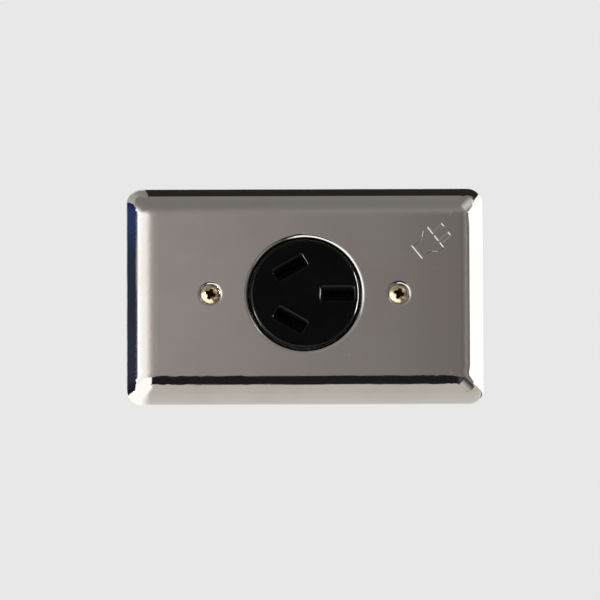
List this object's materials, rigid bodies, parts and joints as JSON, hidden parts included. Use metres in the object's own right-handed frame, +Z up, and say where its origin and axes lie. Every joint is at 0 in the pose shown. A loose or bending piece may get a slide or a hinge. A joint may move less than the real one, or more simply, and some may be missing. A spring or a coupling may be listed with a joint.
{
  "type": "flush mount receptacle",
  "caption": "Single flush receptacle with three flat blade slots in a round black face, under a bright metal cover plate, with a strap and screws that hold it in a wall box.",
  "frame": {"origin": "on the wall's surface, midway between the two box screws, which is the centre of the back of the cover plate and lies on the socket's axis", "axes": "+X along the long side to the right as seen from the front, +Y into the wall, +Z up; the front faces -Y"},
  "size_m": [0.1142, 0.0308, 0.0698],
  "materials": {
    "plate_metal": "bright polished",
    "screw_brass": "bright yellow",
    "face_black": "glossy moulded",
    "base_black": "moulded",
    "strap_steel": "dull zinc",
    "contact_brass": "plain",
    "terminal_brass": "plain",
    "terminal_steel": "plated",
    "fastener_steel": "zinc plated",
    "keeper_fibre": "dull fibre"
  },
  "bodies": {
    "root": {"cover_plate": "plate_metal", "cover_screw_left": "screw_brass", "cover_screw_right": "screw_brass", "socket_face": "face_black", "socket_base": "base_black", "mounting_strap": "strap_steel", "contact_right": "contact_brass", "contact_upper": "contact_brass", "contact_lower": "contact_brass", "terminal_screw_right": "terminal_steel", "terminal_screw_upper": "terminal_brass", "terminal_screw_lower": "terminal_brass", "terminal_clamp_right": "terminal_steel", "terminal_clamp_upper": "terminal_brass", "terminal_clamp_lower": "terminal_brass", "body_rivet_left": "fastener_steel", "body_rivet_right": "fastener_steel", "box_screw_left": "fastener_steel", "box_screw_right": "fastener_steel", "screw_keeper_left": "keeper_fibre", "screw_keeper_right": "keeper_fibre"}
  },
  "joints": []
}
